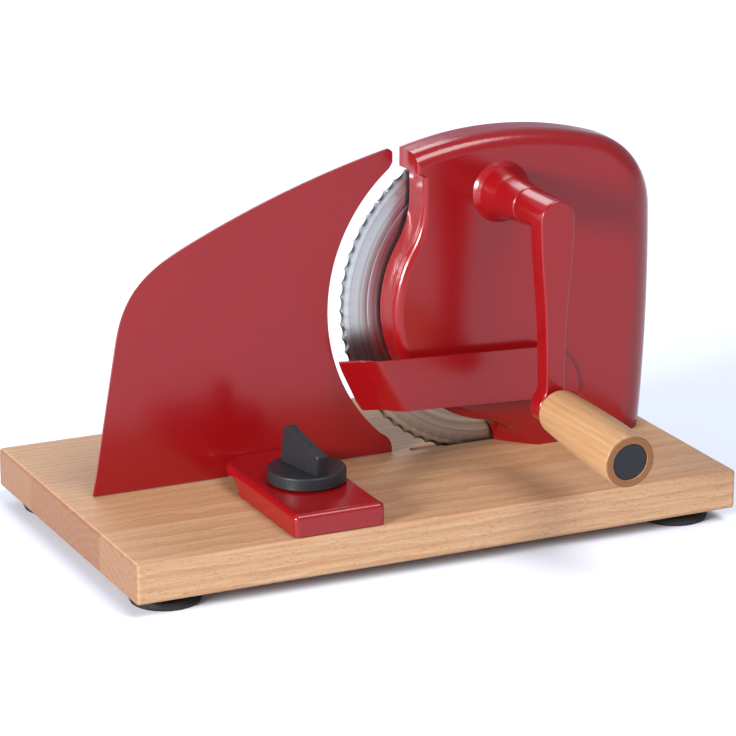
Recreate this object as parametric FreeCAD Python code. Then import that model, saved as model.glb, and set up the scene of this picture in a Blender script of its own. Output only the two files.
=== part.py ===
import FreeCAD, Part
import math
import os
from FreeCAD import Vector

# Manual food slicer: wooden board, geared crank drive, serrated round blade, sliding fence.
# Millimetres. While modelling, x runs along the board from its fence end, y runs away from the
# crank side starting at the board's front edge, and z is the height above the board's top.
# place() moves the pieces to the final frame: x and y centred on the footprint, z = 0 on the table.

# board and feet
board_length = 350.0
board_depth = 207.0
board_thickness = 22.0
board_edge_radius = 2.0
foot_diameter = 38.0
foot_height = 8.0
foot_inset_x = 25.0
foot_inset_y = 24.0
foot_neck_diameter = 24.0
foot_cup_diameter = 30.0
foot_cup_depth = 3.0
foot_screw_diameter = 4.0
foot_screw_length = 14.0

# blade
blade_diameter = 182.0
blade_thickness = 1.6
blade_edge_thickness = 0.3
blade_bevel_width = 13.5
blade_step_width = 4.5
blade_step_depth = 0.3
blade_tooth_count = 72
blade_tooth_depth = 1.3
blade_tooth_land = 0.25
blade_from_right = 97.0
blade_axis_height = 85.0
blade_plane_y = 105.7
blade_bore = 30.0
blade_screw_circle = 46.0
blade_screw_diameter = 4.0
blade_screw_count = 3
blade_screw_length = 4.2
slot_width = 5.0
slot_end_clearance = 16.0
slot_floor_clearance = 3.0

# gears: a small pinion on the crank drives the large wheel behind the blade
gear_module = 2.0
wheel_teeth = 43
pinion_teeth = 20
pressure_angle = math.radians(20.0)
gear_backlash = 0.12
gear_width = 6.5
gear_plane_y = 94.0
wheel_hub_diameter = 38.0
crank_shift = -5.0

# blade axle
axle_diameter = 12.0
axle_bush_wall = 2.0
axle_socket_depth = 6.5
axle_screw_diameter = 6.0
axle_screw_length = 10.0
axle_washer_diameter = 26.0
axle_washer_thickness = 1.0
axle_screw_head_diameter = 18.0
axle_screw_head_height = 1.8

# housing shell
housing_front_y = 84.0
housing_rear_y = 107.0
housing_wall = 2.5
housing_base = 4.0
housing_height = 180.0
housing_right_gap = 1.7
housing_open_radius = 68.2
housing_open_rear_y = 103.0
housing_top_radius = 210.0
housing_corner_radius = 48.0
housing_side_radius = 1050.0
housing_side_bulge_height = 95.0
housing_crown_shift = -1.0
hook_reach = 55.2
hook_drop = 17.5
hook_underside_drop = 2.5
neck_reach = 51.0
neck_share = 0.552
toe_reach = 1.5
toe_radius = 18.0
toe_front_radius = 60.0
round_left = 5.0
round_top = 8.0
round_right = 20.0
round_hook = 2.5
bevel_toe = 18.5
blade_rim_clearance = 2.2
axle_boss_diameter = 26.0
crank_boss_diameter = 24.0
boss_gap = 0.4
pillar_diameter = 9.0
cover_thickness = 1.4
cover_recess = 0.3
cover_clearance = 0.4
cover_screw_diameter = 3.0
cover_screw_low = 22.0
housing_screw_diameter = 5.0
housing_screw_length = 22.0
housing_screw_count = 3

# crank horn, shaft and bushes
horn_base_diameter = 29.0
horn_tip_diameter = 21.0
horn_tip_y = 50.0
horn_flare = 3.5
shaft_diameter = 10.0
bush_wall = 2.5
bush_length = 12.0
bush_flange_diameter = 18.0
bush_flange_thickness = 1.2
shaft_ring_thickness = 1.0
shaft_ring_diameter = 15.0

# crank arm and grip
crank_radius = 104.4
arm_front_y = 18.5
arm_top_thickness = 12.4
arm_bottom_thickness = 10.0
arm_top_width = 19.8
arm_middle_width = 13.2
arm_waist_width = 11.0
arm_end_width = 19.4
arm_end_fillet = 8.0
hub_diameter = 20.0
hub_socket_depth = 24.0
grub_screw_diameter = 5.0
grip_length = 81.0
grip_inner_diameter = 24.5
grip_outer_diameter = 28.4
grip_round = 5.0
grip_edge_round = 1.2
grip_droop = 3.4
grip_barrel = 0.7
grip_pin_diameter = 8.0
grip_pin_head_diameter = 14.0
grip_pin_head_height = 3.0
grip_recess_depth = 12.0
grip_cap_diameter = 20.0
grip_cap_thickness = 3.0

# fence and its bracket
fence_thickness = 1.5
fence_left = 17.6
fence_reach = 59.7
fence_lean = 0.177
fence_shoulder_height = 82.4
fence_top_height = 172.3
fence_brow_run = 56.2
fence_brow_height = 132.0
fence_crown_radius = 590.0
fence_shoulder_fullness = 0.75
fence_blade_gap = 7.4
fence_foot_height = 8.0
fence_board_gap = 0.5
fence_travel = 15.0
bracket_left_reach = 28.6
bracket_right_reach = 22.9
bracket_front_y = 1.4
bracket_height = 12.5
bracket_sheet = 1.5
bracket_round = 3.0
bracket_corner_round = 17.5
bracket_flange_end_y = 75.5
bracket_slot_width = 9.0
rivet_diameter = 4.0
rivet_head_diameter = 6.4
rivet_height = 5.2
rivet_head_height = 1.2
rivet_spacing = 23.0
rivet_shift = 7.6

# clamp
clamp_reach = 136.1
clamp_y = 50.5
clamp_bolt_diameter = 8.0
clamp_bolt_head = 13.0
clamp_bolt_head_height = 5.5
clamp_bolt_top = 18.4
block_front_y = 18.0
block_rear_y = 76.0
block_gap = 0.3
block_screw_diameter = 4.0
block_screw_length = 22.0
block_screw_spacing = 36.0
washer_diameter = 20.0
washer_thickness = 0.9
knob_diameter = 42.2
knob_disc_height = 6.6
knob_skin = 1.4
knob_bottom_round = 1.0
knob_fin_length = 33.5
knob_fin_thickness = 7.8
knob_fin_shift = -1.6
knob_fin_peak = 20.2
knob_fin_low = 10.6
knob_fin_turn = 11.0
knob_fin_draft = 4.0
knob_edge_round = 0.8
knob_insert_diameter = 13.0
knob_turn_range = 180.0

# deflector strip
deflector_sheet = 1.5
deflector_y = 76.0
deflector_height = 29.5
deflector_top_left = 63.5
deflector_slope = 0.0445
deflector_knee_reach = 87.0
deflector_knee_slope = 0.86
deflector_blade_gap = 6.6
deflector_rear_y = 101.6
deflector_bend_reach = 78.0
deflector_bend_tilt = 0.47
deflector_bend_radius = 12.0
deflector_turn = 66.0
deflector_right_reach = 17.0
deflector_tab_length = 20.5
deflector_end_share = 0.95
deflector_screw_diameter = 3.5

# fits
running_gap = 0.04
slide_gap = 0.3
thread_gap = 0.05

# derived places
board_top = foot_height + board_thickness
blade_x = board_length - blade_from_right
blade_z = blade_axis_height
fence_right = blade_x - fence_reach
fence_brow_x = fence_left + fence_brow_run
clamp_x = blade_x - clamp_reach
bracket_left = clamp_x - bracket_left_reach
bracket_right = clamp_x + bracket_right_reach
deflector_knee_x = blade_x - deflector_knee_reach
deflector_bend_x = blade_x - deflector_bend_reach
deflector_right_x = blade_x + deflector_right_reach
blade_radius = blade_diameter / 2
blade_back_y = blade_plane_y + blade_thickness
gear_centres = gear_module * (wheel_teeth + pinion_teeth) / 2
crank_x = blade_x + crank_shift
crank_z = blade_z + math.sqrt(gear_centres ** 2 - crank_shift ** 2)
hook_height = housing_height - hook_drop
neck_cross = math.sqrt(housing_open_radius ** 2 - neck_reach ** 2)
neck_rise = neck_cross + neck_share * (hook_height - hook_underside_drop - blade_z - neck_cross)
neck_radius = ((neck_reach ** 2 + neck_rise ** 2 - housing_open_radius ** 2)
               / (2 * (housing_open_radius - neck_reach)))
grip_z = crank_z - crank_radius
grip_tilt = math.radians(grip_droop)
grip_start_y = arm_front_y - slide_gap - (grip_inner_diameter / 2 - grip_round) * math.sin(grip_tilt)
grip_end_y = grip_start_y - grip_length
grip_reach = ((arm_front_y - grip_end_y - grip_edge_round) * math.cos(grip_tilt) + grip_edge_round
              + (grip_outer_diameter / 2 - grip_edge_round) * math.sin(grip_tilt))
overhang = grip_reach - arm_front_y
inner_front_y = housing_front_y + housing_wall
cover_rear_y = housing_open_rear_y - cover_recess
cover_front_y = cover_rear_y - cover_thickness
gear_rear_y = gear_plane_y + gear_width
axle_boss_end_y = gear_plane_y - boss_gap
crank_boss_end_y = gear_plane_y - boss_gap - bush_flange_thickness
bracket_top = bracket_height
offset = Vector(-board_length / 2, -(board_depth - overhang) / 2, board_top)


def place(shape):
    moved = shape.copy()
    moved.translate(offset)
    return moved


def save(name, shape):
    solid = shape.removeSplitter()
    place(solid).exportStep("parts/" + name + ".step")
    print(name, "solids", len(solid.Solids), "volume", round(solid.Volume, 1), "valid", solid.isValid())


def cylinder_y(diameter, y0, y1, x, z):
    return Part.makeCylinder(diameter / 2, y1 - y0, Vector(x, y0, z), Vector(0, 1, 0))


def cylinder_z(diameter, z0, z1, x, y):
    return Part.makeCylinder(diameter / 2, z1 - z0, Vector(x, y, z0), Vector(0, 0, 1))


def tube_y(outer, inner, y0, y1, x, z):
    return cylinder_y(outer, y0, y1, x, z).cut(cylinder_y(inner, y0 - 1, y1 + 1, x, z))


def line(a, b):
    return Part.LineSegment(a, b).toShape()


def arc(a, b, c):
    return Part.Arc(a, b, c).toShape()


def box(x0, x1, y0, y1, z0, z1):
    return Part.makeBox(x1 - x0, y1 - y0, z1 - z0, Vector(x0, y0, z0))


def prism(edges, direction):
    return Part.Face(Part.Wire(edges)).extrude(direction)


def revolve(profile, base, axis):
    """Turns a closed chain of corner points into a solid of revolution."""
    return Part.Face(Part.makePolygon(profile + profile[:1])).revolve(base, axis, 360)


def revolve_y(points, x, z):
    """points are (radius, y) pairs round an axis along y."""
    return revolve([Vector(x + r, y, z) for r, y in points], Vector(x, 0, z), Vector(0, 1, 0))


def revolve_z(points, x, y):
    """points are (radius, z) pairs round an axis along z."""
    return revolve([Vector(x + r, y, z) for r, z in points], Vector(x, y, 0), Vector(0, 0, 1))


def on_circle(radius, angle, x, y, z):
    return Vector(x + radius * math.cos(angle), y, z + radius * math.sin(angle))


def countersunk(diameter, length, head_diameter, tip, direction):
    """A countersunk screw whose flat head lies at tip, pointing along direction."""
    cone = Part.makeCone(head_diameter / 2, diameter / 2, (head_diameter - diameter) / 2, tip, direction)
    return cone.fuse(Part.makeCylinder(diameter / 2, length, tip, direction))


def hex_prism(width, height, base, direction):
    radius = width / math.sqrt(3)
    turns = [math.radians(60 * i) for i in range(6)]
    ring = [Vector(radius * math.cos(t), radius * math.sin(t), 0) for t in turns]
    solid = Part.Face(Part.makePolygon(ring + ring[:1])).extrude(Vector(0, 0, height))
    solid.Placement = FreeCAD.Placement(base, FreeCAD.Rotation(Vector(0, 0, 1), direction))
    return solid


def touching_centre(c1, r1, c2, r2, upper):
    """Point at distance r1 from c1 and r2 from c2, on the upper or lower side."""
    dx, dz = c2[0] - c1[0], c2[1] - c1[1]
    d = math.hypot(dx, dz)
    a = (r1 * r1 - r2 * r2 + d * d) / (2 * d)
    h = math.sqrt(max(r1 * r1 - a * a, 0.0))
    picks = [(c1[0] + (a * dx - s * h * dz) / d, c1[1] + (a * dz + s * h * dx) / d) for s in (1, -1)]
    picks.sort(key=lambda p: p[1])
    return picks[1] if upper else picks[0]


def arc_about(centre, radius, start, end, y):
    """Arc round centre from start to end angle, in the plane y."""
    x, z = centre
    points = [on_circle(radius, t, x, y, z) for t in (start, (start + end) / 2, end)]
    return arc(*points)


def angle_of(centre, point):
    return math.atan2(point[1] - centre[1], point[0] - centre[0])


# board

def screw_grid(inset_x, inset_y):
    xs = (inset_x, board_length - inset_x)
    ys = (inset_y, board_depth - inset_y)
    return [(x, y) for y in ys for x in xs]


foot_places = dict(zip(("front_left", "front_right", "back_left", "back_right"),
                       screw_grid(foot_inset_x, foot_inset_y)))


def housing_screw_places():
    """The screws stand on a line in the leg, in front of the blade's slot."""
    y = (inner_front_y + blade_plane_y) / 2 - 1
    first = blade_x + toe_reach + bevel_toe
    last = board_length - housing_right_gap - round_right
    step = (last - first) / (housing_screw_count - 1)
    return [(first + step * i, y) for i in range(housing_screw_count)]


def block_screw_places():
    return [(clamp_x, clamp_y + s * block_screw_spacing / 2) for s in (-1, 1)]


def slot_solid():
    depth = blade_radius - blade_axis_height + slot_floor_clearance
    half = math.sqrt(blade_radius ** 2 - blade_axis_height ** 2) + slot_end_clearance
    y0 = (blade_plane_y + blade_back_y - slot_width) / 2
    slot = box(blade_x - half, blade_x + half, y0, y0 + slot_width, -depth, 1)
    ends = [e for e in slot.Edges if abs(e.Vertexes[0].Z - e.Vertexes[1].Z) > depth]
    return slot.makeFillet(slot_width / 2 - 0.01, ends)


def board():
    wood = box(0, board_length, 0, board_depth, -board_thickness, 0)
    wood = wood.makeFillet(board_edge_radius, wood.Edges)
    wood = wood.cut(slot_solid())
    for x, y in foot_places.values():
        wood = wood.cut(cylinder_z(foot_screw_diameter + 2 * thread_gap, -board_thickness - 1,
                                   -board_thickness + foot_screw_length - foot_cup_depth, x, y))
    head = 2 * housing_screw_diameter
    for x, y in housing_screw_places():
        shank = housing_screw_diameter + 2 * slide_gap
        wood = wood.cut(cylinder_z(shank, -board_thickness - 1, 1, x, y))
        cone = Part.makeCone(head / 2 + slide_gap, shank / 2, (head - housing_screw_diameter) / 2 + slide_gap,
                             Vector(x, y, -board_thickness), Vector(0, 0, 1))
        wood = wood.cut(cone)
    wood = wood.cut(cylinder_z(clamp_bolt_diameter + 2 * thread_gap, -board_thickness - 1, 1, clamp_x, clamp_y))
    pocket = clamp_bolt_head * 2 / math.sqrt(3) + 1
    wood = wood.cut(cylinder_z(pocket, -board_thickness - 1, clamp_bolt_head_height + 1 - board_thickness,
                               clamp_x, clamp_y))
    for x, y in block_screw_places():
        reach = block_screw_length - (bracket_top - bracket_sheet - block_gap)
        wood = wood.cut(cylinder_z(block_screw_diameter + 2 * thread_gap, -reach - 0.5, 1, x, y))
    return wood


def foot(x, y):
    """Rubber foot: a flared disc with a suction hollow, under the board."""
    top, low = -board_thickness, -board_top
    neck, rim, cup = foot_neck_diameter / 2, foot_diameter / 2, foot_cup_diameter / 2
    lip = 2.0
    outer = [(0, top), (neck, top), (neck, top - 1.5), (rim - 1.5, low + lip + 1.8), (rim, low + lip),
             (rim - 0.8, low), (cup, low)]
    hollow = [(cup - 2.5, low + foot_cup_depth * 0.6), (foot_screw_diameter + 1, low + foot_cup_depth),
              (0, low + foot_cup_depth)]
    body = revolve_z(outer + hollow, x, y)
    return body.cut(cylinder_z(foot_screw_diameter + 2 * thread_gap, low - 1, top + 1, x, y))


def foot_screws():
    screws = []
    low = -board_top + foot_cup_depth
    for x, y in foot_places.values():
        head = cylinder_z(2 * foot_screw_diameter, low - 2.0, low, x, y)
        head = head.makeFillet(1.2, [e for e in head.Edges if abs(e.BoundBox.ZMax - low + 2.0) < 0.01])
        screws.append(head.fuse(cylinder_z(foot_screw_diameter, low - 0.5, low + foot_screw_length, x, y)))
    return Part.makeCompound(screws)


# housing

def inset(radius, depth):
    """How far a rounding of this radius draws the outline in, at a depth behind its front."""
    if depth >= radius:
        return 0.0
    return radius - math.sqrt(radius * radius - (radius - max(depth, 0.0)) ** 2)


def housing_outline(y, wall):
    """Closed outline of the housing in the plane y, drawn in by the wall and the roundings."""
    depth = y - housing_front_y - wall
    left, top, right, hook = (wall + inset(r - wall * 0.6, depth)
                              for r in (round_left, round_top, round_right, round_hook))
    toe = wall + max(bevel_toe - wall * 0.6 - max(depth, 0.0), 0.0)
    share = (toe - wall) / (bevel_toe - wall * 0.6)
    floor_z = housing_base if wall else 0.0
    blade = (blade_x, blade_z)
    open_r = housing_open_radius - left

    top_r, side_r = housing_top_radius - top, housing_side_radius - right
    top_c = (blade_x + housing_crown_shift, housing_height - housing_top_radius)
    side_c = (board_length - housing_right_gap - housing_side_radius, housing_side_bulge_height)
    corner_r = housing_corner_radius - (top + right) / 2
    corner_c = touching_centre(top_c, top_r - corner_r, side_c, side_r - corner_r, True)

    hook_x = blade_x - hook_reach + hook
    hook_top = top_c[1] + math.sqrt(top_r ** 2 - (hook_x - top_c[0]) ** 2)
    neck_x = blade_x - neck_reach + hook
    neck_r = neck_radius + (left + hook) / 2
    run = blade_x - neck_x + neck_r
    neck_c = (neck_x - neck_r, blade_z + math.sqrt((open_r + neck_r) ** 2 - run ** 2))
    if wall:
        hook_x = neck_x - 0.8
        hook_top = top_c[1] + math.sqrt(top_r ** 2 - (hook_x - top_c[0]) ** 2)
    hook_low = hook_height - (2.6 * housing_wall - wall if wall else 0.0)

    toe_x = blade_x + toe_reach + toe
    toe_r = toe_radius + (toe_front_radius - toe_radius) * share + wall
    toe_c = touching_centre(blade, open_r + toe_r, (toe_x, floor_z), toe_r, False)
    end_x = side_c[0] + math.sqrt(side_r ** 2 - (side_c[1] - floor_z) ** 2)

    def at(x, z):
        return Vector(x, y, z)

    neck_join = angle_of(blade, neck_c)
    toe_join = angle_of(blade, toe_c) + 2 * math.pi
    corner_side = angle_of(side_c, corner_c)
    corner_top = angle_of(top_c, corner_c)
    side_start = angle_of(side_c, (end_x, floor_z))
    toe_from = toe_join - math.pi
    toe_to = angle_of(toe_c, (toe_x, floor_z))
    return Part.Wire([
        line(at(hook_x, hook_top), at(hook_x, hook_low)),
        line(at(hook_x, hook_low), at(neck_x, hook_low - hook_underside_drop)),
        line(at(neck_x, hook_low - hook_underside_drop), at(neck_x, neck_c[1])),
        arc_about(neck_c, neck_r, 0.0, neck_join - math.pi, y),
        arc_about(blade, open_r, neck_join, toe_join, y),
        arc_about(toe_c, toe_r, toe_from, toe_to, y),
        line(at(toe_x, floor_z), at(end_x, floor_z)),
        arc_about(side_c, side_r, side_start, corner_side, y),
        arc_about(corner_c, corner_r, corner_side, corner_top, y),
        arc_about(top_c, top_r, corner_top, angle_of(top_c, (hook_x, hook_top)), y)])


def housing_body(wall, rear_y):
    """Smooth body through outlines that follow the front roundings."""
    front = housing_front_y + wall
    shares = (0.0, 0.02, 0.08, 0.2, 0.42, 0.7, 1.0)
    depths = [s * (round_right - wall * 0.6) for s in shares] + [rear_y - front]
    return Part.makeLoft([housing_outline(front + d, wall) for d in depths], True, False)


def horn_profile():
    tip, base = horn_tip_diameter / 2, horn_base_diameter / 2
    y1 = housing_front_y + 1.0
    mid_y = housing_front_y - horn_flare
    return [(0, horn_tip_y), (tip - 0.6, horn_tip_y), (tip, horn_tip_y + 0.6),
            ((tip + base) / 2 - 0.5, (horn_tip_y + mid_y) / 2 + 3), (base, mid_y),
            (base + horn_flare * 0.4, mid_y + horn_flare * 0.6), (base + horn_flare, y1), (0, y1)]


def cover_screw_places():
    """Four screws: beside the neck, at the top corner, at the right foot and at the leg."""
    right = board_length - housing_right_gap - housing_wall - pillar_diameter / 2 - 0.2
    return [(blade_x - neck_reach + 2 * pillar_diameter - 1, hook_height + 1.3),
            (right - 2 * pillar_diameter, hook_height - 2.3 * pillar_diameter),
            (right - 1.5, cover_screw_low), (blade_x + toe_reach + toe_radius, cover_screw_low)]


def housing_shell():
    shell = housing_body(0.0, housing_rear_y)
    shell = shell.cut(housing_body(housing_wall, housing_rear_y + 5))
    shell = shell.fuse(revolve_y(horn_profile(), crank_x, crank_z))
    shell = shell.fuse(cylinder_y(crank_boss_diameter, inner_front_y - 1, crank_boss_end_y, crank_x, crank_z))
    shell = shell.fuse(cylinder_y(axle_boss_diameter, inner_front_y - 1, axle_boss_end_y, blade_x, blade_z))
    inside = housing_body(housing_wall - 0.5, housing_rear_y)
    for x, z in cover_screw_places():
        pillar = cylinder_y(pillar_diameter, inner_front_y - 0.5, cover_front_y, x, z).common(inside)
        shell = shell.fuse(pillar)
        shell = shell.cut(cylinder_y(cover_screw_diameter + 2 * thread_gap, cover_front_y - 9,
                                     cover_front_y + 1, x, z))
    # the mouth: the blade's side of the left and lower walls stays in front of the blade
    room = cylinder_y(2 * (blade_radius + blade_rim_clearance), housing_open_rear_y, housing_rear_y + 1,
                      blade_x, blade_z)
    shell = shell.cut(room)
    shell = shell.cut(cylinder_y(shaft_diameter + 2 * bush_wall, horn_tip_y - 1, crank_boss_end_y + 1,
                                 crank_x, crank_z))
    shell = shell.cut(cylinder_y(bush_flange_diameter, horn_tip_y - 1, horn_tip_y + bush_flange_thickness,
                                 crank_x, crank_z))
    shell = shell.cut(cylinder_y(axle_diameter, axle_boss_end_y - axle_socket_depth, axle_boss_end_y + 1,
                                 blade_x, blade_z))
    for x, y in housing_screw_places():
        shell = shell.cut(cylinder_z(housing_screw_diameter + 2 * thread_gap, -1, housing_base + 1, x, y))
    return shell


def gear_cover():
    """Sheet that closes the gear case behind the wheel, in front of the blade."""
    front = housing_outline(cover_front_y, housing_wall + cover_clearance)
    plate = Part.Face(front).extrude(Vector(0, cover_thickness, 0))
    hub = wheel_hub_diameter + 2
    plate = plate.cut(cylinder_y(hub, cover_front_y - 1, cover_rear_y + 1, blade_x, blade_z))
    plate = plate.cut(cylinder_y(shaft_ring_diameter + 2, cover_front_y - 1, cover_rear_y + 1,
                                 crank_x, crank_z))
    for x, z in cover_screw_places():
        plate = plate.cut(cylinder_y(cover_screw_diameter + 0.4, cover_front_y - 1, cover_rear_y + 1, x, z))
    return plate


def cover_screws():
    screws = []
    for x, z in cover_screw_places():
        head = cylinder_y(2 * cover_screw_diameter, cover_rear_y, cover_rear_y + 1.4, x, z)
        screws.append(head.fuse(cylinder_y(cover_screw_diameter, cover_front_y - 8, cover_rear_y + 0.5, x, z)))
    return Part.makeCompound(screws)


def housing_screws():
    head = 2 * housing_screw_diameter
    return Part.makeCompound([countersunk(housing_screw_diameter, housing_screw_length, head,
                                          Vector(x, y, -board_thickness), Vector(0, 0, 1))
                              for x, y in housing_screw_places()])


# crank drive

def bush(flange_y, body_y0, body_y1):
    outer = shaft_diameter + 2 * bush_wall - 2 * running_gap
    body = cylinder_y(outer, body_y0, body_y1, crank_x, crank_z)
    flange = cylinder_y(bush_flange_diameter - 0.4, flange_y, flange_y + bush_flange_thickness,
                        crank_x, crank_z)
    return body.fuse(flange).cut(cylinder_y(shaft_diameter + 2 * running_gap, body_y0 - 5, body_y1 + 5,
                                            crank_x, crank_z))


def front_bush():
    return bush(horn_tip_y, horn_tip_y, horn_tip_y + bush_length)


def rear_bush():
    return bush(crank_boss_end_y, crank_boss_end_y - bush_length, crank_boss_end_y)


def crank_shaft():
    """Steel shaft with a flat at its gear end and a groove for the ring."""
    start = horn_tip_y - slide_gap - hub_socket_depth
    end = cover_rear_y
    shaft = cylinder_y(shaft_diameter, start, end, crank_x, crank_z)
    flat = box(crank_x + shaft_diameter * 0.35, crank_x + shaft_diameter, gear_plane_y,
               gear_rear_y + 0.1, crank_z - shaft_diameter, crank_z + shaft_diameter)
    groove = tube_y(shaft_diameter + 2, shaft_diameter - 1.6, gear_rear_y + 0.1,
                    gear_rear_y + 0.1 + shaft_ring_thickness, crank_x, crank_z)
    return shaft.cut(flat).cut(groove)


def shaft_ring():
    """Open retaining ring behind the pinion."""
    y0 = gear_rear_y + 0.1
    ring = tube_y(shaft_ring_diameter, shaft_diameter - 1.6, y0, y0 + shaft_ring_thickness, crank_x, crank_z)
    gap = box(crank_x - 1.5, crank_x + 1.5, y0 - 1, y0 + 3, crank_z - shaft_ring_diameter, crank_z)
    return ring.cut(gap)


def gear_wheel(teeth, x, z, turn):
    """Spur gear with involute flanks drawn as arcs; turn is the angle of one tooth."""
    pitch_r = gear_module * teeth / 2
    base_r = pitch_r * math.cos(pressure_angle)
    tip_r = pitch_r + gear_module
    root_r = pitch_r - 1.25 * gear_module
    roll = math.tan(pressure_angle) - pressure_angle
    half = math.pi / (2 * teeth) - gear_backlash / (2 * pitch_r)

    def half_angle(radius):
        if radius <= base_r:
            return half + roll
        a = math.acos(base_r / radius)
        return half + roll - (math.tan(a) - a)

    edges = []
    for i in range(teeth):
        c = turn + 2 * math.pi * i / teeth
        nxt = c + 2 * math.pi / teeth

        def point(radius, angle):
            return on_circle(radius, angle, x, gear_plane_y, z)

        low, tip, mid = half_angle(root_r), half_angle(tip_r), half_angle(pitch_r)
        edges.append(arc(point(root_r, c - low), point(pitch_r, c - mid), point(tip_r, c - tip)))
        edges.append(arc(point(tip_r, c - tip), point(tip_r, c), point(tip_r, c + tip)))
        edges.append(arc(point(tip_r, c + tip), point(pitch_r, c + mid), point(root_r, c + low)))
        edges.append(arc(point(root_r, c + low), point(root_r, (c + nxt) / 2), point(root_r, nxt - low)))
    return prism(edges, Vector(0, gear_width, 0))


def line_of_centres():
    return math.atan2(crank_z - blade_z, crank_x - blade_x)


def pinion():
    """The pinion meets the wheel with a gap between two teeth on the line of centres."""
    turn = line_of_centres() + math.pi + math.pi / pinion_teeth
    gear = gear_wheel(pinion_teeth, crank_x, crank_z, turn)
    bore = cylinder_y(shaft_diameter + 2 * running_gap, gear_plane_y - 1, gear_rear_y + 1, crank_x, crank_z)
    flat = box(crank_x + shaft_diameter * 0.35 + running_gap, crank_x + shaft_diameter, gear_plane_y - 2,
               gear_rear_y + 2, crank_z - shaft_diameter, crank_z + shaft_diameter)
    return gear.cut(bore.cut(flat))


def blade_gear():
    """Large wheel with the hub that carries the blade through the cover."""
    gear = gear_wheel(wheel_teeth, blade_x, blade_z, line_of_centres())
    web = tube_y(2 * (gear_module * wheel_teeth / 2 - 3.5 * gear_module), wheel_hub_diameter + 8,
                 gear_plane_y - 1, gear_plane_y + 2.5, blade_x, blade_z)
    gear = gear.cut(web)
    gear = gear.fuse(cylinder_y(wheel_hub_diameter, gear_rear_y - 1, blade_plane_y, blade_x, blade_z))
    hub = blade_screw_circle + 2.4 * blade_screw_diameter
    gear = gear.fuse(cylinder_y(hub, cover_rear_y + slide_gap, blade_plane_y, blade_x, blade_z))
    gear = gear.fuse(cylinder_y(blade_bore - 2 * running_gap, blade_plane_y - 1, blade_back_y - 0.1,
                                blade_x, blade_z))
    bore = axle_diameter + 2 * axle_bush_wall
    gear = gear.cut(cylinder_y(bore, gear_plane_y - 1, blade_back_y + 1, blade_x, blade_z))
    for x, z in blade_screw_places():
        gear = gear.cut(cylinder_y(blade_screw_diameter + 2 * thread_gap, gear_rear_y - 2,
                                   blade_plane_y + 1, x, z))
    return gear


def axle_bush():
    return tube_y(axle_diameter + 2 * axle_bush_wall, axle_diameter + 2 * running_gap, gear_plane_y,
                  blade_back_y - 0.1, blade_x, blade_z)


def blade_axle():
    axle = cylinder_y(axle_diameter, axle_boss_end_y - axle_socket_depth, blade_back_y, blade_x, blade_z)
    thread = cylinder_y(axle_screw_diameter + 2 * thread_gap, blade_back_y - axle_screw_length - 0.5,
                        blade_back_y + 1, blade_x, blade_z)
    return axle.cut(thread)


def axle_washer():
    return tube_y(axle_washer_diameter, axle_screw_diameter + 0.4, blade_back_y,
                  blade_back_y + axle_washer_thickness, blade_x, blade_z)


def axle_screw():
    """Low domed screw with a coin slot that holds the blade on its axle."""
    y0 = blade_back_y + axle_washer_thickness
    radius = axle_screw_head_diameter / 2
    dome = [(0, y0), (radius, y0), (radius, y0 + 0.6), (radius * 0.8, y0 + axle_screw_head_height * 0.8),
            (radius * 0.4, y0 + axle_screw_head_height), (0, y0 + axle_screw_head_height)]
    head = revolve_y(dome, blade_x, blade_z)
    coin = box(blade_x - radius, blade_x + radius, y0 + 0.7, y0 + 5, blade_z - 0.8, blade_z + 0.8)
    shank = cylinder_y(axle_screw_diameter, blade_back_y - axle_screw_length, y0 + 0.5, blade_x, blade_z)
    return head.cut(coin).fuse(shank)


def blade_screw_places():
    radius = blade_screw_circle / 2
    turns = [math.radians(90) + 2 * math.pi * i / blade_screw_count for i in range(blade_screw_count)]
    return [(blade_x + radius * math.cos(t), blade_z + radius * math.sin(t)) for t in turns]


def blade():
    """Serrated disc: scalloped outline, bevel and pressed step on the crank side."""
    edges = []
    step = 2 * math.pi / blade_tooth_count
    land = blade_tooth_land / blade_radius

    def rim(radius, angle):
        return on_circle(radius, angle, blade_x, blade_plane_y, blade_z)

    for i in range(blade_tooth_count):
        a, b = i * step + land, (i + 1) * step - land
        edges.append(line(rim(blade_radius, a - 2 * land), rim(blade_radius, a)))
        edges.append(arc(rim(blade_radius, a), rim(blade_radius - blade_tooth_depth, (a + b) / 2),
                         rim(blade_radius, b)))
    disc = prism(edges, Vector(0, blade_thickness, 0))
    flat_r = blade_radius - blade_bevel_width
    step_r = flat_r - blade_step_width
    front = blade_plane_y
    section = [(0, front), (step_r - 0.6, front), (step_r, front + blade_step_depth),
               (flat_r - 0.6, front + blade_step_depth), (flat_r, front),
               (blade_radius + 1, blade_back_y - blade_edge_thickness + 0.1), (blade_radius + 1, blade_back_y),
               (0, blade_back_y)]
    disc = disc.common(revolve_y(section, blade_x, blade_z))
    disc = disc.cut(cylinder_y(blade_bore, front - 1, blade_back_y + 1, blade_x, blade_z))
    for x, z in blade_screw_places():
        hole = countersunk(blade_screw_diameter + 2 * thread_gap, 5, blade_screw_head() + 0.3,
                           Vector(x, blade_back_y, z), Vector(0, -1, 0))
        disc = disc.cut(hole)
    return disc


def blade_screw_head():
    """The flat head's cone stays within the blade's thickness."""
    return blade_screw_diameter + 2 * (blade_thickness - 0.15)


def blade_screws():
    return Part.makeCompound([countersunk(blade_screw_diameter, blade_screw_length, blade_screw_head(),
                                          Vector(x, blade_back_y, z), Vector(0, -1, 0))
                              for x, z in blade_screw_places()])


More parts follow.
